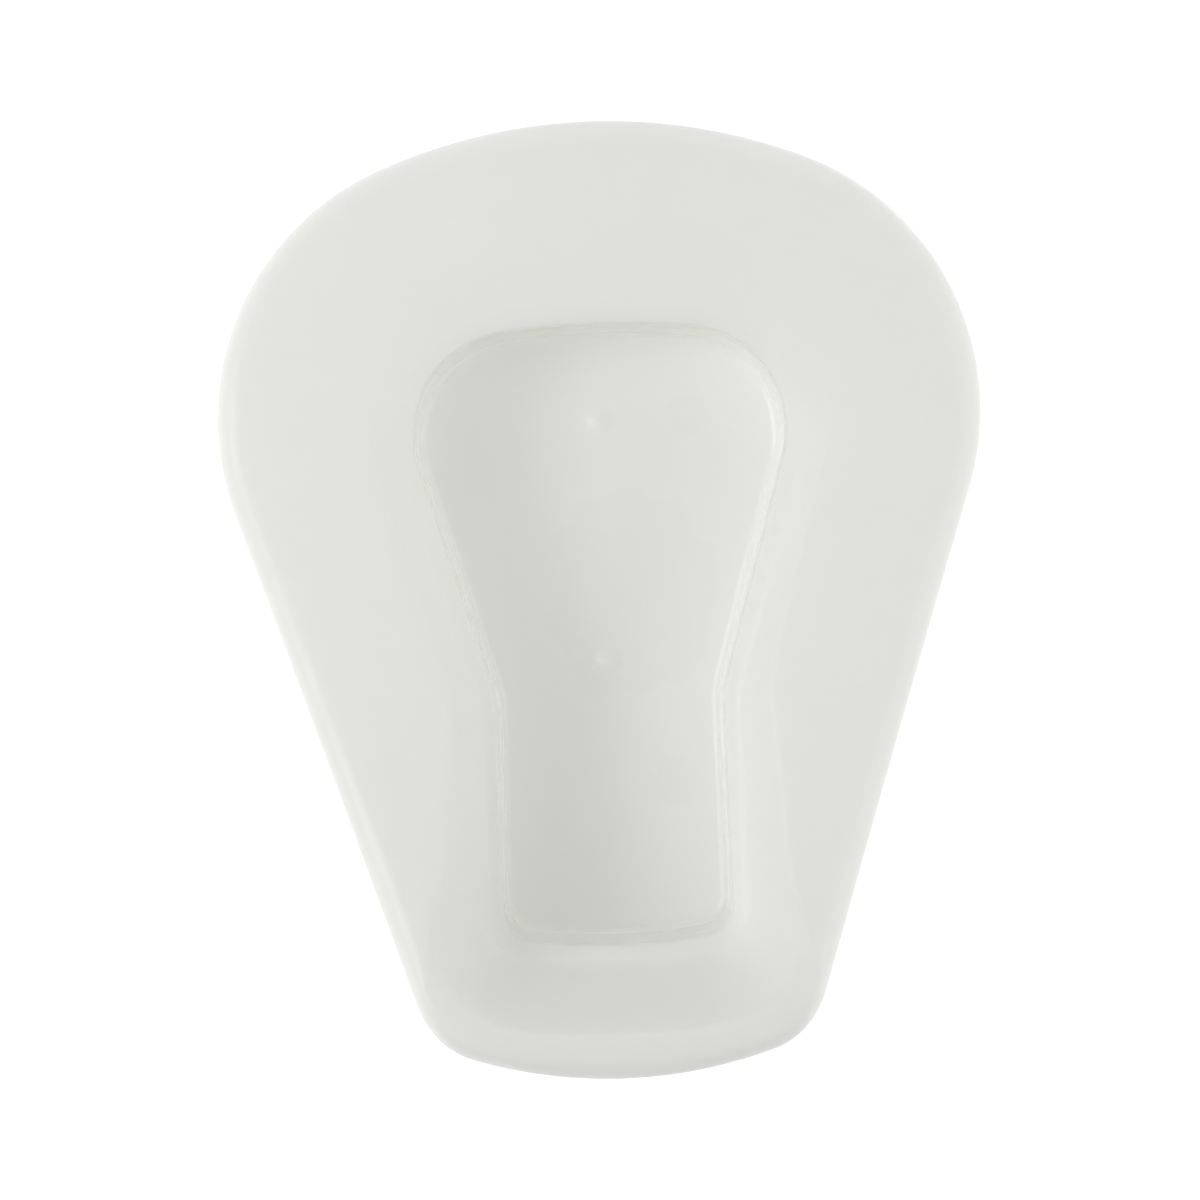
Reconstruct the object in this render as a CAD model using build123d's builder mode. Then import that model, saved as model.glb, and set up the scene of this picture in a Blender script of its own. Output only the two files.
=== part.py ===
from build123d import *
import math
import os

# Stackable hospital bedpan, one moulding of polypropylene, in millimetres.
# +Z is up, +Y points to the wide rear that carries the seat, -Y to the raised
# front, and the origin is on the floor under the middle of the pan's box.
# The moulding is written as the six regions it is made of. They share faces
# and together they are the whole shell, with nothing between them.

# ---- driving dimensions -------------------------------------------------
wall = 2.0              # thickness of the moulding everywhere
skirt_draft = 3.0       # degrees the outer skirt leans in as it rises
edge_radius = 9.0       # rounded edge between deck and skirt

# Outer outline on the floor: a flat rear arc, straight sides, a front arc.
rear_y = 180.5
rear_corner = (163.1, 104.0)
rear_corner_radius = 104.0
front_y = -180.5
front_corner = (73.4, -165.0)
front_corner_radius = 36.0

# Side view of the deck: nearly level over the seat, then an S-curve up to the front.
rear_edge_z = 51.5
seat_z = 53.5
seat_crest_y = 60.0
rise_middle_y = -95.0
rise_middle_z = 71.0
front_crest_y = -165.0
overall_height = 89.0

# Rim of the well: a keyhole, wide at the rear and narrow from the waist forward.
well_rear_y = 101.7
well_rear_corner = (79.9, 91.1)
well_rear_radius = 38.8
well_waist = (42.3, -37.3)
well_waist_radius = 43.6
well_front_corner = (43.0, -126.7)
well_front_y = -130.8
well_front_radius = 12.1

# Section of the bowl, as steps outward from the rim of the well.
rim_z = 44.0
well_draft_run = 1.2    # the steep wall leans in this far on its way to the floor
bevel_run = 6.5         # gentle bevel outside the rim
bevel_z = 46.4
flare_draft = 29.0      # degrees from upright of the bowl's side above the bevel
recess_run = 16.5       # shallow recess in the deck round the bowl
recess_depth = 3.5
cut_top_z = 110.0       # above everything
floor_radius = 3.0      # round where the steep wall meets the well floor

# Two moulding gates leave a low round pip each on the well floor.
pip_diameter = 11.0
pip_height = 1.0
pip_places_y = (68.0, -25.0)

# Where the regions of the moulding meet.
floor_split_z = 6.0
wall_split_z = 41.0
deck_inset = 11.0
guard_split_y = -120.0

os.makedirs("parts", exist_ok=True)


# ---- outlines -----------------------------------------------------------
def pan_outline(inset):
    """Outline of the skirt on the floor, drawn in by inset."""
    with BuildSketch() as outline:
        with BuildLine():
            rear = ThreePointArc(
                (-rear_corner[0], rear_corner[1]), (0, rear_y), rear_corner
            )
            Line(rear_corner, front_corner)
            front = ThreePointArc(
                front_corner, (0, front_y), (-front_corner[0], front_corner[1])
            )
            Line(front @ 1, rear @ 0)
        make_face()
        fillet(outline.vertices().group_by(Axis.Y)[0], front_corner_radius)
        fillet(outline.vertices().group_by(Axis.Y)[-1], rear_corner_radius)
        if inset:
            offset(amount=-inset)
    return outline.sketch


def keyhole_outline(growth):
    """Outline of the well's rim, grown outward by growth."""
    with BuildSketch() as outline:
        with BuildLine():
            rear = ThreePointArc(
                (-well_rear_corner[0], well_rear_corner[1]),
                (0, well_rear_y),
                well_rear_corner,
            )
            Polyline(well_rear_corner, well_waist, well_front_corner)
            front = ThreePointArc(
                well_front_corner,
                (0, well_front_y),
                (-well_front_corner[0], well_front_corner[1]),
            )
            Polyline(front @ 1, (-well_waist[0], well_waist[1]), rear @ 0)
        make_face()
        fillet(outline.vertices().group_by(Axis.Y)[1], well_waist_radius)
        fillet(outline.vertices().group_by(Axis.Y)[0], well_front_radius)
        fillet(outline.vertices().group_by(Axis.Y)[-1], well_rear_radius)
        if growth:
            offset(amount=growth)
    return outline.sketch


def deck_profile(drop):
    """Side view of the body, from the floor to the deck, lowered by drop."""
    reach = 20
    with BuildSketch() as profile:
        with BuildLine():
            front_end = (front_y - reach, overall_height - drop)
            rear_end = (rear_y + reach, rear_edge_z - drop)
            Polyline(front_end, (front_y - reach, -reach), (rear_y + reach, -reach), rear_end)
            Spline(
                rear_end,
                (seat_crest_y, seat_z - drop),
                (rise_middle_y, rise_middle_z - drop),
                (front_crest_y, overall_height - drop),
                front_end,
                tangents=[(-1, 0), (-1, 0)],
            )
        make_face()
    return profile.sketch


# ---- blocks that the shell is cut from ------------------------------------
def skirt_block(inset):
    """Block with the skirt's outline and draft, drawn in by inset."""
    top_inset = inset + cut_top_z * math.tan(math.radians(skirt_draft))
    with BuildPart() as block:
        with BuildSketch():
            add(pan_outline(inset))
        with BuildSketch(Plane.XY.offset(cut_top_z)):
            add(pan_outline(top_inset))
        loft(ruled=True)
    return block.part


def pan_block(inset, rounding):
    """Block of the whole pan: drafted sides, deck on top, rounded edge between."""
    with BuildPart() as block:
        add(skirt_block(inset))
        with BuildSketch(Plane.YZ.offset(-rear_corner[0])):
            add(deck_profile(inset))
        extrude(amount=2 * rear_corner[0], mode=Mode.INTERSECT)
        deck = block.faces().filter_by(lambda face: face.normal_at().Z > 0.5)
        fillet(deck.edges(), rounding)
    return block.part


def recess_block(growth):
    """Block above the shallow recess in the deck, grown outward and down by growth."""
    with BuildPart() as recess:
        with BuildSketch():
            add(keyhole_outline(recess_run + growth))
        extrude(amount=cut_top_z)
        with BuildSketch(Plane.YZ.offset(-rear_corner[0])):
            add(deck_profile(recess_depth + growth))
        extrude(amount=2 * rear_corner[0], mode=Mode.SUBTRACT)
    return recess.part


def bowl_block(growth):
    """Block of the bowl, from the well floor up, grown outward and down by growth."""
    flare_run = (cut_top_z - bevel_z) * math.tan(math.radians(flare_draft))
    section = [
        (-well_draft_run, wall),
        (0, rim_z),
        (bevel_run, bevel_z),
        (bevel_run + flare_run, cut_top_z),
    ]
    with BuildPart() as bowl:
        for (low_run, low_z), (high_run, high_z) in zip(section, section[1:]):
            with BuildSketch(Plane.XY.offset(low_z - growth)):
                add(keyhole_outline(low_run + growth))
            with BuildSketch(Plane.XY.offset(high_z - growth)):
                add(keyhole_outline(high_run + growth))
            loft(ruled=True)
        fillet(bowl.edges().group_by(Axis.Z)[0], floor_radius + growth / 2)
        add(recess_block(growth))
    return bowl.part


# ---- the moulding: a bowl and the hood of deck and skirt round it ----------
body_block = pan_block(0, edge_radius)
bowl_back = bowl_block(wall)

with BuildPart() as bowl_shell:
    add(body_block)
    add(bowl_back, mode=Mode.INTERSECT)
    add(bowl_block(0), mode=Mode.SUBTRACT)

with BuildPart() as hood_shell:
    add(body_block)
    add(pan_block(wall, edge_radius - wall), mode=Mode.SUBTRACT)
    add(bowl_back, mode=Mode.SUBTRACT)

guard_plane = Plane.XZ.offset(-guard_split_y)

with BuildPart() as rear_hood:
    add(hood_shell.part)
    split(bisect_by=guard_plane, keep=Keep.BOTTOM)

# ---- well floor, with the gate pips ----------------------------------------
pip_sphere = ((pip_diameter / 2) ** 2 + pip_height**2) / (2 * pip_height)

with BuildPart() as pip:
    with BuildSketch(Plane.XZ):
        with BuildLine():
            Polyline((pip_diameter / 2, 0), (0, 0), (0, pip_height))
            RadiusArc((0, pip_height), (pip_diameter / 2, 0), pip_sphere)
        make_face()
    revolve(axis=Axis.Z)

with BuildPart() as well_floor:
    add(bowl_shell.part)
    split(bisect_by=Plane.XY.offset(floor_split_z), keep=Keep.BOTTOM)
    with Locations([(0, y, wall) for y in pip_places_y]):
        add(pip.part)
well_floor.part.label = "well_floor"
export_step(well_floor.part, "parts/well_floor.step")

# ---- well wall: steep sides of the keyhole ---------------------------------
with BuildPart() as well_wall:
    add(bowl_shell.part)
    split(bisect_by=Plane.XY.offset(floor_split_z), keep=Keep.TOP)
    split(bisect_by=Plane.XY.offset(wall_split_z), keep=Keep.BOTTOM)
well_wall.part.label = "well_wall"
export_step(well_wall.part, "parts/well_wall.step")

# ---- bowl shoulder: flared side and shallow ledge up to the deck -----------
with BuildPart() as bowl_shoulder:
    add(bowl_shell.part)
    split(bisect_by=Plane.XY.offset(wall_split_z), keep=Keep.TOP)
bowl_shoulder.part.label = "bowl_shoulder"
export_step(bowl_shoulder.part, "parts/bowl_shoulder.step")

# ---- seat deck: the broad top that carries the weight ----------------------
with BuildPart() as seat_deck:
    add(rear_hood.part)
    add(skirt_block(deck_inset), mode=Mode.INTERSECT)
seat_deck.part.label = "seat_deck"
export_step(seat_deck.part, "parts/seat_deck.step")

# ---- outer skirt: rounded edge and drafted side down to the floor ----------
with BuildPart() as outer_skirt:
    add(rear_hood.part)
    add(skirt_block(deck_inset), mode=Mode.SUBTRACT)
outer_skirt.part.label = "outer_skirt"
export_step(outer_skirt.part, "parts/outer_skirt.step")

# ---- front guard: the raised lip and the skirt below it --------------------
with BuildPart() as front_guard:
    add(hood_shell.part)
    split(bisect_by=guard_plane, keep=Keep.TOP)
front_guard.part.label = "front_guard"
export_step(front_guard.part, "parts/front_guard.step")
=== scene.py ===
import math

import bmesh
import bpy
import numpy as np
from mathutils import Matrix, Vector
from mathutils.geometry import delaunay_2d_cdt


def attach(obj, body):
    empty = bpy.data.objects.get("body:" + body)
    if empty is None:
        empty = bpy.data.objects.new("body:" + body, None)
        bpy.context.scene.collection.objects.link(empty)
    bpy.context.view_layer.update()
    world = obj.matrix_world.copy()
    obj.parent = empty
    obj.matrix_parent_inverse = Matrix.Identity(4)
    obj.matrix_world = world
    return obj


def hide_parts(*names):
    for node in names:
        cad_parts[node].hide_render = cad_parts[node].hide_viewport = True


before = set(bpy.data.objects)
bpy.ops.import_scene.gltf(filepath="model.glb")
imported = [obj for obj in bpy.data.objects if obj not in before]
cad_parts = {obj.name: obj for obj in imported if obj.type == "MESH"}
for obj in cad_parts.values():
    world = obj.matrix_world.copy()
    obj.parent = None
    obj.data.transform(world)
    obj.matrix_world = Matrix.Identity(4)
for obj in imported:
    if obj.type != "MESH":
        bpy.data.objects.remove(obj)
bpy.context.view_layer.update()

MM = 0.001
NODES = ("well_floor", "well_wall", "bowl_shoulder", "seat_deck", "outer_skirt", "front_guard")


# ---- camera: straight above the pan, turned a little ------------------------
CAMERA_PLACE = (-0.0023, -0.0015)
CAMERA_HEIGHT = 1.4
CAMERA_TURN = math.radians(-2.2)
VIEW_WIDTH = 0.4644         # width of floor that the frame takes in
SENSOR = 36.0

camera_data = bpy.data.cameras.new("camera")
camera_data.sensor_width = SENSOR
camera_data.lens = SENSOR * CAMERA_HEIGHT / VIEW_WIDTH
camera = bpy.data.objects.new("camera", camera_data)
camera.location = (*CAMERA_PLACE, CAMERA_HEIGHT)
camera.rotation_euler = (0, 0, CAMERA_TURN)
bpy.context.scene.collection.objects.link(camera)
bpy.context.scene.camera = camera


# ---- the pan's form, in millimetres -----------------------------------------
WALL = 2.0
SKIRT_SLOPE = math.tan(math.radians(3.0))
FLOOR_Z = 2.0               # top side of the well floor
RIM_AT = (0.0, 0.3, 0.58, 1.0)      # shares of the way from the rear to the front
RIM_Z = (47.6, 47.4, 44.0, 44.0)    # rim of the steep wall, at the keyhole outline
BEVEL = (6.5, 2.2)          # shoulder's inner bend: steps outward and up from the rim
WELL_DRAFT = 0.6            # the steep wall leans in this far on its way to the floor

# Run from the keyhole outline out to the deck's crease, by the same shares as RIM_AT.
SHOULDER_AT = (0.0, 0.21, 0.3, 0.6, 0.67, 0.79, 0.846, 0.875, 0.9, 1.0)
SHOULDER_RUN = (18.7, 16.4, 15.6, 16.9, 18.4, 20.3, 24.0, 27.5, 29.0, 29.0)

EDGE_DROP = 0.8             # the deck's edges sit this much below its side view
CROWN = 0.05                # crown height as a share of the deck's width

EDGE_RADIUS = 9.0
CREASE_RADIUS = 4.0
BEVEL_RADIUS = 9.0
RIM_RADIUS = 1.6
FLOOR_RADIUS = 3.0

PIPS = ((0.0, 68.0), (0.0, -25.0))
PIP_RADIUS = 5.5
PIP_HEIGHT = 1.4

# Deck heights along the pan, from the rear to the front.
DECK_Y = (200.5, 60.0, -95.0, -165.0, -200.5)
DECK_Z = (51.5, 53.5, 71.0, 88.8, 88.8)

# Spacing of the points, round the pan and across its section.
SAMPLE = 0.25               # fine samples along an outline
HALF_POINTS = 190           # points round each half of the pan
MATCH_SAMPLES = 2000        # fine samples that match the keyhole to the skirt,
MATCH_REACH = 120           # and how many of them on each side smooth the match
WAIST_Y = -48.0             # the skirt faces the keyhole's waist here
SKIRT_STEPS = 9
EDGE_STEPS = 9
DECK_ROWS = 25
CREASE_STEPS = 8
MAX_SHARE = 0.46            # share of a straight side that one round may take up
FLOOR_GRID = 4.0            # spacing of the points that fill the well floor
PIP_RINGS = 10
GLOSS_ROW = 20              # polish starts this many rows inward of the crease
GLOSS_ROWS = 7              # and is full after this many more, round the rim


def clamped_spline(knots_x, knots_y, x):
    """Cubic spline through the knots, level at both ends."""
    order = np.argsort(knots_x)
    kx, ky = np.array(knots_x, float)[order], np.array(knots_y, float)[order]
    n = len(kx)
    matrix, right = np.zeros((n, n)), np.zeros(n)
    matrix[0, 0] = matrix[-1, -1] = 1
    for i in range(1, n - 1):
        before, after = kx[i] - kx[i - 1], kx[i + 1] - kx[i]
        matrix[i, i - 1 : i + 2] = 1 / before, 2 / before + 2 / after, 1 / after
        rise_before = (ky[i] - ky[i - 1]) / before**2
        rise_after = (ky[i + 1] - ky[i]) / after**2
        right[i] = 3 * (rise_before + rise_after)
    slope = np.linalg.solve(matrix, right)
    i = np.clip(np.searchsorted(kx, x) - 1, 0, n - 2)
    step = kx[i + 1] - kx[i]
    t = np.clip((x - kx[i]) / step, 0, 1)
    a = (1 + 2 * t) * (1 - t) ** 2 * ky[i] + t**2 * (3 - 2 * t) * ky[i + 1]
    return a + step * (t * (1 - t) ** 2 * slope[i] - t**2 * (1 - t) * slope[i + 1])


def deck_height(y):
    return clamped_spline(DECK_Y, DECK_Z, y)


class Side:
    """A straight side between two corners; the pan is on the side away from normal."""

    def __init__(self, a, b):
        along = np.subtract(b, a) / np.linalg.norm(np.subtract(b, a))
        self.normal = np.array([-along[1], along[0]])
        self.level = self.normal @ np.array(a, float)

    def depth(self, p):
        return self.level - self.normal @ p

    def gradient(self, p):
        return -self.normal

    def touch(self, p):
        return p + self.normal * self.depth(p)


class EndArc:
    """The flat arc across the pan's end, through its middle point and a corner."""

    def __init__(self, middle_y, corner):
        rise = abs(middle_y - corner[1])
        self.radius = (corner[0] ** 2 + rise**2) / (2 * rise)
        self.centre = np.array([0, middle_y - math.copysign(self.radius, middle_y)])

    def depth(self, p):
        return self.radius - np.linalg.norm(p - self.centre)

    def gradient(self, p):
        return (self.centre - p) / np.linalg.norm(p - self.centre)

    def touch(self, p):
        out = (p - self.centre) / np.linalg.norm(p - self.centre)
        return self.centre + out * self.radius


def corner_centre(first, second, radius, corner):
    """Centre of the round that touches both curves, found from the sharp corner."""
    first_guess, rounds = 0.8, 30
    p = first_guess * np.array(corner, float)
    for _ in range(rounds):
        miss = np.array([first.depth(p) - radius, second.depth(p) - radius])
        p = p - np.linalg.solve(np.array([first.gradient(p), second.gradient(p)]), miss)
    return p


def sweep(centre, start, end, outward):
    """Fine points and outward normals along an arc from start to end."""
    radius = np.linalg.norm(start - centre)
    first = math.atan2(*(start - centre)[::-1])
    turn = (math.atan2(*(end - centre)[::-1]) - first + math.pi) % (2 * math.pi) - math.pi
    angles = first + turn * np.linspace(0, 1, max(int(abs(turn) * radius / SAMPLE), 2))
    ray = np.stack([np.cos(angles), np.sin(angles)], 1)
    return centre + radius * ray, ray * outward


def half_outline(rear_y, corners, radii, front_y):
    """Right half of an outline, from the middle of the rear to the middle of the front.

    Returns points, outward normals, arc lengths and the arc length at each round's ends."""
    curves = [EndArc(rear_y, corners[0])]
    curves += [Side(a, b) for a, b in zip(corners, corners[1:])]
    curves.append(EndArc(front_y, corners[-1]))
    points, normals, painted_patches = [], [], []
    place = np.array([0.0, rear_y])

    def run_to(curve, end):
        if isinstance(curve, EndArc):
            found = sweep(curve.centre, place, end, 1)
        else:
            t = np.linspace(0, 1, max(int(np.linalg.norm(end - place) / SAMPLE), 2))[:, None]
            found = place + (end - place) * t, np.repeat(curve.normal[None], len(t), 0)
        points.append(found[0])
        normals.append(found[1])

    for first, second, corner, radius in zip(curves, curves[1:], corners, radii):
        centre = corner_centre(first, second, radius, corner)
        start, end = first.touch(centre), second.touch(centre)
        run_to(first, start)
        painted_patches.append(sum(len(p) for p in points) - 1)
        arc = sweep(centre, start, end, math.copysign(1, radius))
        points.append(arc[0])
        normals.append(arc[1])
        painted_patches.append(sum(len(p) for p in points) - 1)
        place = end
    run_to(curves[-1], np.array([0.0, front_y]))
    points, normals = np.concatenate(points), np.concatenate(normals)
    steps = np.linalg.norm(np.diff(points, axis=0), axis=1)
    length = np.concatenate([[0], np.cumsum(steps)])
    return points, normals, length, length[painted_patches]


def at_length(outline, s):
    """Points and unit normals of an outline at arc lengths s."""
    points, normals, length, _ = outline
    p = np.stack([np.interp(s, length, points[:, k]) for k in (0, 1)], 1)
    n = np.stack([np.interp(s, length, normals[:, k]) for k in (0, 1)], 1)
    return p, n / np.linalg.norm(n, axis=1)[:, None]


# Rear point, corners, their radii (hollow where negative) and front point of the well's
# rim and of the skirt's foot.
keyhole = half_outline(
    101.7, [(79.9, 91.1), (42.3, -37.3), (43.0, -126.7)], [38.8, -43.6, 12.1], -130.8
)
skirt = half_outline(180.45, [(163.0, 104.0), (73.3, -165.0)], [104.0, 36.0], -180.4)


def matched_lengths():
    """Arc lengths along the keyhole and the skirt of the points that face each other."""
    waist = (keyhole[3][2] + keyhole[3][3]) / 2
    beside_waist = np.interp(-WAIST_Y, -skirt[0][:, 1], skirt[2])
    inner = [0, *keyhole[3][:2], waist, *keyhole[3][4:], keyhole[2][-1]]
    outer = [0, *skirt[3][:2], beside_waist, *skirt[3][2:], skirt[2][-1]]
    fine = np.linspace(0, keyhole[2][-1], MATCH_SAMPLES)
    match = np.interp(fine, inner, outer)
    window = np.hanning(2 * MATCH_REACH + 1)
    beyond = 2 * match[-1] - match[-2 : -MATCH_REACH - 2 : -1]
    padded = np.concatenate([-match[MATCH_REACH:0:-1], match, beyond])
    match = np.convolve(padded, window / window.sum(), "valid")
    mixed = fine / fine[-1] + match / match[-1]
    even = np.linspace(0, mixed[-1], HALF_POINTS + 1)
    return np.interp(even, mixed, fine), np.interp(even, mixed, match)


def conic(start, corner, end, steps):
    """Round corner as a circular arc's conic from start to end, both ends left out."""
    arm_a, arm_b = start - corner, end - corner
    cosine = (arm_a * arm_b).sum(1) / np.maximum(
        np.linalg.norm(arm_a, axis=1) * np.linalg.norm(arm_b, axis=1), 1e-9
    )
    weight = np.sqrt(np.clip((1 - cosine) / 2, 0, 1))[:, None]
    rows = []
    for t in np.arange(1, steps) / steps:
        parts = (1 - t) ** 2, 2 * t * (1 - t) * weight, t**2
        total = parts[0] + parts[1] + parts[2]
        rows.append((parts[0] * start + parts[1] * corner + parts[2] * end) / total)
    return rows


def straight(start, end, steps):
    """Points from start to end, both included."""
    return [start + (end - start) * t for t in np.linspace(0, 1, steps + 1)]


def corner_reach(before, corner, after, radius):
    """How far from the corner a round of that radius touches each side."""
    a, b = before - corner, after - corner
    la, lb = np.linalg.norm(a, axis=1), np.linalg.norm(b, axis=1)
    cosine = np.clip((a * b).sum(1) / (la * lb), -1, 1)
    half_turn = (math.pi - np.arccos(cosine)) / 2
    return np.minimum(radius * np.tan(half_turn), MAX_SHARE * np.minimum(la, lb))[:, None]


def toward(start, end, distance):
    """Points at a distance from start on the way to end."""
    way = end - start
    return start + way / np.linalg.norm(way, axis=1)[:, None] * distance


def section_rings():
    """Half rings of points from the skirt's foot to the well floor, and the bowl's first row."""
    inner_s, outer_s = matched_lengths()
    k, kn = at_length(keyhole, inner_s)     # keyhole's points and outward normals
    o, on = at_length(skirt, outer_s)       # skirt's points and outward normals
    k[0, 0] = k[-1, 0] = o[0, 0] = o[-1, 0] = 0
    along = inner_s / inner_s[-1]
    shoulder_run = clamped_spline(SHOULDER_AT, SHOULDER_RUN, along)
    rim_z = clamped_spline(RIM_AT, RIM_Z, along)

    def bowl_point(run, z):
        return np.column_stack([k + kn * np.reshape(run, (-1, 1)), np.broadcast_to(z, len(k))])

    def skirt_point(z):
        z = np.broadcast_to(z, len(o))
        return np.column_stack([o - on * (z * SKIRT_SLOPE)[:, None], z])

    foot = skirt_point(0.0)
    edge = skirt_point(50.0)    # a first guess, which six rounds bring up to the deck
    for _ in range(6):
        edge = skirt_point(deck_height(edge[:, 1]) - EDGE_DROP)
    crease = bowl_point(shoulder_run, 0.0)
    crease[:, 2] = deck_height(crease[:, 1]) - EDGE_DROP
    bevel = bowl_point(BEVEL[0], rim_z + BEVEL[1])
    rim = bowl_point(0, rim_z)
    well_foot = bowl_point(-WELL_DRAFT, FLOOR_Z)
    # Far enough in to give the round at the floor a level side to end on.
    floor_in = bowl_point(-WELL_DRAFT - 2.2 * FLOOR_RADIUS, FLOOR_Z)

    width = np.linalg.norm(crease - edge, axis=1)[:, None]

    def deck_point(share):
        """Deck at a share of the way from the edge to the crease, crowned between."""
        p = edge + (crease - edge) * share
        swell = 4 * share * (1 - share)
        z = deck_height(p[:, 1])[:, None] - EDGE_DROP + CROWN * width * swell
        return np.column_stack([p[:, :2], z])

    # Skirt and its rounded edge, up to where the round meets the deck.
    nudge = 0.01                # share of the deck's width over which its lean is taken
    reach = corner_reach(foot, edge, crease, EDGE_RADIUS)
    share = reach / width
    landing = deck_point(share)
    lean = (deck_point(share + nudge) - landing) / (nudge * width)
    apex_z = landing[:, 2] - lean[:, 2] * reach[:, 0]
    apex = skirt_point(apex_z)
    rings = straight(foot, toward(apex, foot, reach), SKIRT_STEPS)
    rings += conic(rings[-1], apex, landing, EDGE_STEPS)
    # Deck and the crease's round.
    crease_reach = corner_reach(edge, crease, bevel, CREASE_RADIUS)
    far = 1 - crease_reach / width
    for t in np.linspace(0, 1, DECK_ROWS):
        rings.append(deck_point(share + (far - share) * t))
    lean = (rings[-1] - deck_point(far - nudge)) / (nudge * width)
    apex_z = rings[-1][:, 2] + lean[:, 2] * crease_reach[:, 0]
    apex = np.column_stack([crease[:, :2], apex_z])
    rings += conic(rings[-1], apex, toward(apex, bevel, crease_reach), CREASE_STEPS)
    # Bowl: shoulder, steep wall and the round at the floor. Each corner has its round's
    # radius, the steps up to it and the steps round it.
    corners = (
        (apex, bevel, rim, BEVEL_RADIUS, 10, 8),
        (bevel, rim, well_foot, RIM_RADIUS, 3, 7),
        (rim, well_foot, floor_in, FLOOR_RADIUS, 14, 8),
    )
    bowl_start = len(rings)
    start = toward(apex, bevel, crease_reach)
    for before, corner, after, radius, run_steps, turn_steps in corners:
        reach = corner_reach(before, corner, after, radius)
        rings += straight(start, toward(corner, before, reach), run_steps)
        start = toward(corner, after, reach)
        rings += conic(rings[-1], corner, start, turn_steps)
    rings.append(start)
    return rings, bowl_start


def whole_ring(half):
    """Closes a half ring with its mirror image; the middle points stay on x = 0."""
    half = half.copy()
    half[0, 0] = half[-1, 0] = 0
    left = half[-2:0:-1] * [-1, 1, 1]
    return np.concatenate([half, left])


def floor_fill(boundary):
    """Points and triangles that fill the well floor inside a closed boundary ring."""
    inner = []
    edge_gap, pip_gap = 0.6 * FLOOR_GRID, 4.0
    outline = boundary[:, :2]
    low, high = outline.min(0), outline.max(0)
    for y in np.arange(low[1] + FLOOR_GRID / 2, high[1], FLOOR_GRID):
        for x in np.arange(low[0] + FLOOR_GRID / 2, high[0], FLOOR_GRID):
            near_edge = np.linalg.norm(outline - (x, y), axis=1).min() < edge_gap
            near_pip = any(math.hypot(x - px, y - py) < PIP_RADIUS + pip_gap for px, py in PIPS)
            if not near_edge and not near_pip and inside(outline, x, y):
                inner.append((x, y))
    for px, py in PIPS:
        inner.append((px, py))
        for ring, radius in enumerate(np.linspace(0.8, PIP_RADIUS + 2.5, PIP_RINGS)):
            count = 12 + 3 * ring
            for angle in 2 * math.pi * (np.arange(count) + ring % 2 / 2) / count:
                inner.append((px + radius * math.cos(angle), py + radius * math.sin(angle)))
    flat = [Vector(p) for p in outline.tolist()] + [Vector(p) for p in inner]
    loop = list(range(len(outline)))
    found = delaunay_2d_cdt(flat, [], [loop], 1, 1e-5)
    if len(found[0]) != len(flat):
        raise ValueError("the floor's fill moved or merged a point")
    return np.array(inner), [tuple(face) for face in found[2]]


def inside(outline, x, y):
    """True where the point is inside the closed outline."""
    a, b = outline, np.roll(outline, -1, 0)
    cross = (a[:, 1] > y) != (b[:, 1] > y)
    with np.errstate(divide="ignore", invalid="ignore"):
        at = a[:, 0] + (y - a[:, 1]) * (b[:, 0] - a[:, 0]) / (b[:, 1] - a[:, 1])
    return np.count_nonzero(cross & (x < at)) % 2 == 1


def pip_rise(points):
    """Height of the gate pips at flat points of the well floor."""
    rise = np.zeros(len(points))
    for px, py in PIPS:
        r = np.hypot(points[:, 0] - px, points[:, 1] - py) / PIP_RADIUS
        rise += PIP_HEIGHT * np.where(r < 1, (1 - r**2) ** 1.5, 0)
    return rise


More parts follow.
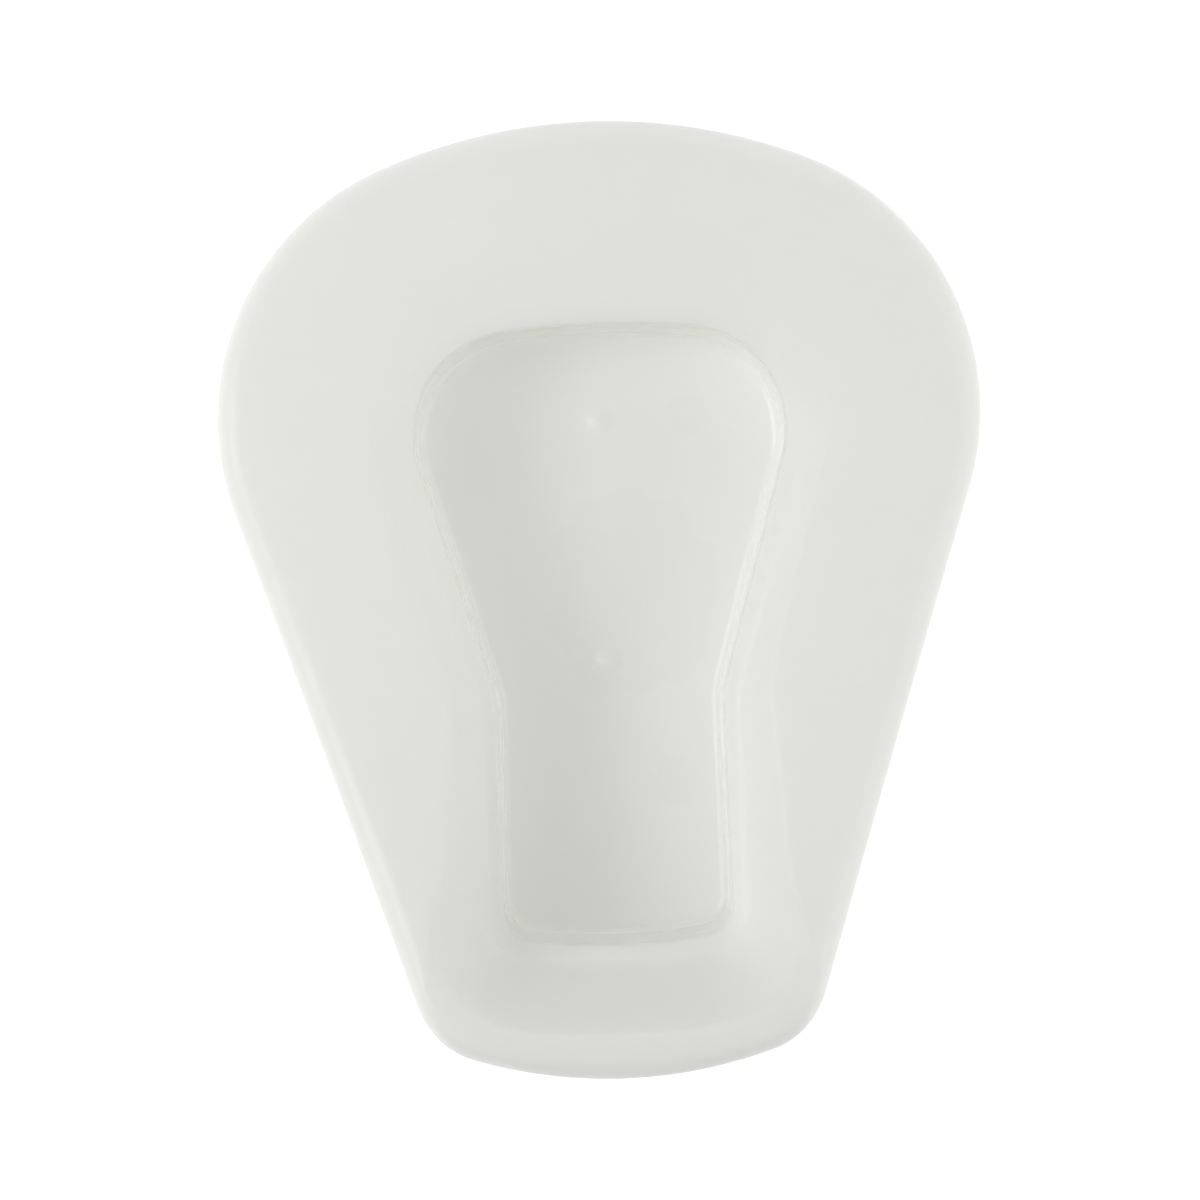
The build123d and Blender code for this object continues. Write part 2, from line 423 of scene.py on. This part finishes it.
def pan_mesh():
    """The whole moulding as one closed skin: top side, underside and the foot between."""
    half_rings, bowl_start = section_rings()
    rings = [whole_ring(half) for half in half_rings]
    count = len(rings[0])
    inner, fill = floor_fill(rings[-1])
    inner = np.column_stack([inner, np.full(len(inner), FLOOR_Z)])
    top = np.concatenate(rings + [inner])
    floor_start = count * (len(rings) - 1)
    top[floor_start:, 2] += pip_rise(top[floor_start:])

    faces = []
    for row in range(len(rings) - 1):
        for i in range(count):
            j = (i + 1) % count
            a, b = row * count, (row + 1) * count
            faces.append((a + i, b + i, b + j, a + j))
    faces += [tuple(v + floor_start for v in face) for face in fill]

    mesh = bpy.data.meshes.new("top_side")
    mesh.from_pydata(top.tolist(), [], faces)
    work = bmesh.new()
    work.from_mesh(mesh)
    bmesh.ops.recalc_face_normals(work, faces=work.faces)
    work.verts.ensure_lookup_table()
    normals = np.array([v.normal for v in work.verts])
    if normals[-1][2] < 0:      # the well floor has to face up
        bmesh.ops.reverse_faces(work, faces=work.faces)
        normals = -normals
    faces = [tuple(v.index for v in face.verts) for face in work.faces]
    work.free()
    bpy.data.meshes.remove(mesh)

    under = top - normals * WALL
    under[:, 2] = np.maximum(under[:, 2], 0)
    below = len(top)
    all_faces = faces + [tuple(below + v for v in reversed(face)) for face in faces]
    all_faces += [(i, (i + 1) % count, below + (i + 1) % count, below + i) for i in range(count)]
    mesh = bpy.data.meshes.new("pan")
    mesh.from_pydata((np.concatenate([top, under]) * MM).tolist(), [], all_faces)
    work = bmesh.new()
    work.from_mesh(mesh)
    bmesh.ops.recalc_face_normals(work, faces=work.faces)
    work.to_mesh(mesh)
    work.free()
    for polygon in mesh.polygons:
        polygon.use_smooth = True

    # Masks for the material: polish on the top side, and both sides of the steep wall.
    rows = np.arange(below) // count
    polish = np.clip((rows - bowl_start - GLOSS_ROW) / GLOSS_ROWS, 0, 1)
    steep = polish * np.clip((top[:, 2] - FLOOR_Z) / FLOOR_RADIUS, 0, 1)
    masks = {"polish": np.append(polish, 0 * polish), "steep_wall": np.append(steep, steep)}
    for name, values in masks.items():
        mesh.attributes.new(name, "FLOAT", "POINT").data.foreach_set("value", values)
    return mesh


pan = bpy.data.objects.new("pan", pan_mesh())
bpy.context.scene.collection.objects.link(pan)


# ---- materials --------------------------------------------------------------
class Nodes:
    """Short ways to add and join the nodes of one material."""

    def __init__(self, name):
        self.material = bpy.data.materials.new(name)
        self.material.use_nodes = True
        self.tree = self.material.node_tree
        self.tree.nodes.clear()
        self.out = self.tree.nodes.new("ShaderNodeOutputMaterial")
        self.shader = self.tree.nodes.new("ShaderNodeBsdfPrincipled")
        self.join(self.shader.outputs["BSDF"], self.out.inputs["Surface"])

    def join(self, value, socket):
        """Feeds a socket with a number, a colour or another node's output."""
        if isinstance(value, bpy.types.NodeSocket):
            self.tree.links.new(value, socket)
        else:
            socket.default_value = value

    def place(self):
        """Object coordinates, in metres."""
        return self.tree.nodes.new("ShaderNodeTexCoord").outputs["Object"]

    def attribute(self, name):
        node = self.tree.nodes.new("ShaderNodeAttribute")
        node.attribute_name = name
        return node.outputs["Fac"]

    def math(self, operation, a, b=0.0, clamp=False):
        node = self.tree.nodes.new("ShaderNodeMath")
        node.operation = operation
        node.use_clamp = clamp
        self.join(a, node.inputs[0])
        self.join(b, node.inputs[1])
        return node.outputs[0]

    def fade(self, value, low, high, to_low=0.0, to_high=1.0):
        """Smooth ramp from to_low at value low to to_high at value high."""
        node = self.tree.nodes.new("ShaderNodeMapRange")
        node.interpolation_type = "SMOOTHSTEP"
        for socket, given in zip(node.inputs, (value, low, high, to_low, to_high)):
            self.join(given, socket)
        return node.outputs["Result"]

    def noise(self, place, scale, detail=2.0, roughness=0.5):
        node = self.tree.nodes.new("ShaderNodeTexNoise")
        self.join(place, node.inputs["Vector"])
        node.inputs["Scale"].default_value = scale
        node.inputs["Detail"].default_value = detail
        node.inputs["Roughness"].default_value = roughness
        return node.outputs["Fac"]

    def shifted(self, place, move=(0, 0, 0), scale=(1, 1, 1), turn=0.0):
        node = self.tree.nodes.new("ShaderNodeMapping")
        self.join(place, node.inputs["Vector"])
        node.inputs["Location"].default_value = move
        node.inputs["Scale"].default_value = scale
        node.inputs["Rotation"].default_value = (0, 0, turn)
        return node.outputs["Vector"]

    def mix(self, share, a, b):
        node = self.tree.nodes.new("ShaderNodeMix")
        node.data_type = "RGBA"
        self.join(share, node.inputs["Factor"])
        self.join(a, node.inputs["A"])
        self.join(b, node.inputs["B"])
        return node.outputs["Result"]

    def bump(self, height, distance, normal=None):
        node = self.tree.nodes.new("ShaderNodeBump")
        node.inputs["Distance"].default_value = distance
        self.join(height, node.inputs["Height"])
        if normal is not None:
            self.join(normal, node.inputs["Normal"])
        return node.outputs["Normal"]


def patch(nodes, place, middle, radii, wobble):
    """Mask of one patch of painted shade: an ellipse whose edge wanders, soft at its border."""
    scale = (1 / radii[0], 1 / radii[1], 0)
    local = nodes.shifted(place, (-middle[0] * scale[0], -middle[1] * scale[1], 0), scale)
    length = nodes.tree.nodes.new("ShaderNodeVectorMath")
    length.operation = "LENGTH"
    nodes.join(local, length.inputs[0])
    wander = nodes.math("MULTIPLY", wobble, PATCH_WANDER)
    reach = nodes.math("ADD", length.outputs["Value"], wander)
    return nodes.fade(reach, *PATCH_EDGE, 1.0, 0.0)


RESIN_IOR = 1.49
RESIN_CLOUD = ((0.938, 0.941, 0.918, 1), (0.952, 0.955, 0.935, 1))
# Painted shade: faint darker, yellower patches on the well floor stand in for uneven backlight
# through the floor where it rests on the table.
PAINTED_PATCH_COLOUR = (0.915, 0.915, 0.885, 1)
PAINTED_PATCH_STRENGTH = 0.32
SPECK_COLOUR = (0.30, 0.27, 0.22, 1)
SPECK_STRENGTH = 0.75
SPECK_SHARE = 0.035         # share of the cells that hold a speck
SPECK_EDGE = (0.014, 0.022) # start and end of a speck's edge, in shares of a cell

DECK_ROUGHNESS = 0.37
BOWL_ROUGHNESS = 0.13
GRAIN_IN_BOWL = 0.08        # what the polish leaves of the deck's grain
THROUGH = 0.5               # share of the light that a face passes on to its other side
THROUGH_WALL = 0.75         # the same for the steep wall, which looks lighter
FLOOR_TOP = (0.003, 0.006)  # metres up, between which the well floor's looks give way

SINK_DEPTH = 0.00022        # depths of relief, in metres
GRAIN_DEPTH = 0.000035
SCUFF_DEPTH = 0.000012

PATCH_WANDER = 0.7           # how far a painted shade patch's edge wanders, in shares of its radius
PATCH_EDGE = (1.31, 1.39)    # start and end of that edge
PAINTED_PATCHES = (              # middle and radii, in metres, of each patch of painted shade on the well floor
    ((0.0115, 0.0006), (0.032, 0.040)),
    ((0.0244, -0.073), (0.0085, 0.0095)),
    ((0.034, 0.069), (0.008, 0.008)),
)


def pan_plastic():
    """Off-white polypropylene: satin deck, polished bowl, light wear and a few specks."""
    nodes = Nodes("pan_plastic")
    place = nodes.place()
    polish = nodes.attribute("polish")
    parts = nodes.tree.nodes.new("ShaderNodeSeparateXYZ")
    nodes.join(place, parts.inputs["Vector"])
    low = nodes.fade(parts.outputs["Z"], *FLOOR_TOP, 1.0, 0.0)
    on_floor = nodes.math("MULTIPLY", low, polish)

    # Colour: cloudy resin, faint patches of painted shade on the floor of the well (standing in
    # for uneven backlight through it), sparse specks.
    cloud = nodes.noise(place, 14.0, 3.0)
    resin = nodes.mix(cloud, *RESIN_CLOUD)
    wobble = nodes.noise(place, 62.0, 2.5)
    # Painted shade: these patches darken the well floor's colour where the backlight through it
    # is uneven.
    painted_patches = 0.0
    for middle, radii in PAINTED_PATCHES:
        painted_patches = nodes.math("MAXIMUM", painted_patches, patch(nodes, place, middle, radii, wobble))
    painted_patches = nodes.math("MULTIPLY", painted_patches, on_floor)
    resin = nodes.mix(nodes.math("MULTIPLY", painted_patches, PAINTED_PATCH_STRENGTH), resin, PAINTED_PATCH_COLOUR)
    cells = nodes.tree.nodes.new("ShaderNodeTexVoronoi")
    cells.inputs["Scale"].default_value = 55.0
    nodes.join(place, cells.inputs["Vector"])
    chosen = nodes.tree.nodes.new("ShaderNodeSeparateColor")
    nodes.join(cells.outputs["Color"], chosen.inputs["Color"])
    picked = nodes.math("GREATER_THAN", chosen.outputs["Red"], 1 - SPECK_SHARE)
    dots = nodes.fade(cells.outputs["Distance"], *SPECK_EDGE, 1.0, 0.0)
    speck = nodes.math("MULTIPLY", dots, picked)
    resin = nodes.mix(nodes.math("MULTIPLY", speck, SPECK_STRENGTH), resin, SPECK_COLOUR)
    nodes.join(resin, nodes.shader.inputs["Base Color"])

    # Gloss: satin deck, polished bowl, hairline scuffs and handling marks.
    streaks = nodes.noise(nodes.shifted(place, scale=(1.0, 0.045, 1.0), turn=0.5), 900.0, 2.0)
    cross = nodes.noise(nodes.shifted(place, scale=(0.05, 1.0, 1.0), turn=-0.35), 800.0, 2.0)
    scuffs = nodes.math("MAXIMUM", nodes.fade(streaks, 0.66, 0.72), nodes.fade(cross, 0.68, 0.74))
    worn = nodes.fade(nodes.noise(place, 24.0, 2.0), 0.52, 0.7)
    steep = nodes.math("MULTIPLY", polish, nodes.math("SUBTRACT", 1.0, low))
    flat = nodes.math("SUBTRACT", 1.0, steep)
    scuffs = nodes.math("MULTIPLY", nodes.math("MULTIPLY", scuffs, worn), flat)
    handled = nodes.fade(nodes.noise(place, 45.0, 4.0, 0.6), 0.42, 0.66, -0.025, 0.035)
    rough = nodes.fade(polish, 0.0, 1.0, DECK_ROUGHNESS, BOWL_ROUGHNESS)
    rough = nodes.math("ADD", rough, nodes.math("MULTIPLY", scuffs, 0.10))
    rough = nodes.math("ADD", rough, handled)
    rough = nodes.math("ADD", rough, nodes.math("MULTIPLY", painted_patches, 0.04), clamp=True)
    nodes.join(rough, nodes.shader.inputs["Roughness"])

    # Relief: fine spark grain on the deck, slow sink waves everywhere, scuff grooves.
    grain = nodes.noise(place, 1900.0, 2.0, 0.6)
    grain = nodes.math("MULTIPLY", grain, nodes.fade(polish, 0.0, 1.0, 1.0, GRAIN_IN_BOWL))
    relief = nodes.bump(nodes.noise(place, 26.0, 1.0), SINK_DEPTH)
    relief = nodes.bump(grain, GRAIN_DEPTH, relief)
    relief = nodes.bump(nodes.math("MULTIPLY", scuffs, -1.0), SCUFF_DEPTH, relief)
    nodes.join(relief, nodes.shader.inputs["Normal"])

    nodes.shader.inputs["IOR"].default_value = RESIN_IOR

    # Milky polypropylene passes some light through its wall. The flatter a ray meets a
    # face, the more of it is mirrored and the less is passed on. From inside the wall
    # nothing is held back, or the light would stay caught there.
    through = nodes.tree.nodes.new("ShaderNodeBsdfTranslucent")
    nodes.join(resin, through.inputs["Color"])
    surface = nodes.tree.nodes.new("ShaderNodeFresnel")
    surface.inputs["IOR"].default_value = RESIN_IOR
    nodes.join(relief, surface.inputs["Normal"])
    side = nodes.tree.nodes.new("ShaderNodeNewGeometry")
    front = nodes.math("SUBTRACT", 1.0, side.outputs["Backfacing"])
    mirrored = nodes.math("MULTIPLY", surface.outputs["Fac"], front)
    through_here = nodes.fade(nodes.attribute("steep_wall"), 0.0, 1.0, THROUGH, THROUGH_WALL)
    passed = nodes.math("MULTIPLY", nodes.math("SUBTRACT", 1.0, mirrored), through_here)
    blend = nodes.tree.nodes.new("ShaderNodeMixShader")
    nodes.join(passed, blend.inputs["Fac"])
    nodes.join(nodes.shader.outputs["BSDF"], blend.inputs[1])
    nodes.join(through.outputs["BSDF"], blend.inputs[2])
    nodes.join(blend.outputs["Shader"], nodes.out.inputs["Surface"])
    return nodes.material


pan.data.materials.append(pan_plastic())
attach(pan, "root")
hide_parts(*NODES)


# ---- floor, lights and surroundings -----------------------------------------
FLOOR_WHITES = ((0.88, 0.88, 0.88, 1), (0.90, 0.90, 0.90, 1))
FLOOR_GLOW = 0.443
FLOOR_HALF = 3.0
FLOOR_DROP = 0.0004         # keeps the floor clear of the pan's underside
SURROUND = 0.267            # strength of the even light from all round

# Name, azimuth and height in degrees, watts, and the side of the square in metres.
SOFT_BOXES = (
    ("key_left", 180, 35, 18.0, 1.1),
    ("high_left", 180, 50, 7.3, 1.1),
    ("low_right", 0, 20, 24.8, 2.0),
    ("fill_right", 0, 50, 2.2, 2.0),
    ("low_rear", 90, 20, 12.0, 2.0),
    ("fill_front", 270, 50, 4.9, 2.0),
)
BOX_DISTANCE = 2.2


def pale_floor():
    """Bright white sweep, with the faintest mottle."""
    nodes = Nodes("pale_floor")
    mottle = nodes.noise(nodes.place(), 9.0, 3.0)
    white = nodes.mix(mottle, *FLOOR_WHITES)
    nodes.join(white, nodes.shader.inputs["Base Color"])
    nodes.shader.inputs["Roughness"].default_value = 0.8
    nodes.shader.inputs["Emission Color"].default_value = (1, 1, 1, 1)
    nodes.shader.inputs["Emission Strength"].default_value = FLOOR_GLOW
    return nodes.material


def studio_floor():
    signs = ((-1, -1), (1, -1), (1, 1), (-1, 1))
    corners = [(x * FLOOR_HALF, y * FLOOR_HALF, -FLOOR_DROP) for x, y in signs]
    mesh = bpy.data.meshes.new("studio_floor")
    mesh.from_pydata(corners, [], [(0, 1, 2, 3)])
    floor = bpy.data.objects.new("studio_floor", mesh)
    bpy.context.scene.collection.objects.link(floor)
    mesh.materials.append(pale_floor())


def soft_box(name, azimuth, height_angle, watts, size):
    """Square soft box aimed at the pan, placed by its azimuth and height in degrees."""
    turn, lift = math.radians(azimuth), math.radians(height_angle)
    level = math.cos(lift)
    way = Vector((math.cos(turn) * level, math.sin(turn) * level, math.sin(lift)))
    place = way * BOX_DISTANCE
    data = bpy.data.lights.new(name, "AREA")
    data.shape = "SQUARE"
    data.size = size
    data.energy = watts
    lamp = bpy.data.objects.new(name, data)
    lamp.location = place
    lamp.rotation_euler = (-place).to_track_quat("-Z", "Y").to_euler()
    bpy.context.scene.collection.objects.link(lamp)


studio_floor()
for box in SOFT_BOXES:
    soft_box(*box)

world = bpy.data.worlds.new("studio")
world.use_nodes = True
background = world.node_tree.nodes["Background"]
background.inputs["Color"].default_value = (1, 1, 1, 1)
background.inputs["Strength"].default_value = SURROUND
bpy.context.scene.world = world
bpy.context.scene.view_settings.view_transform = "Standard"
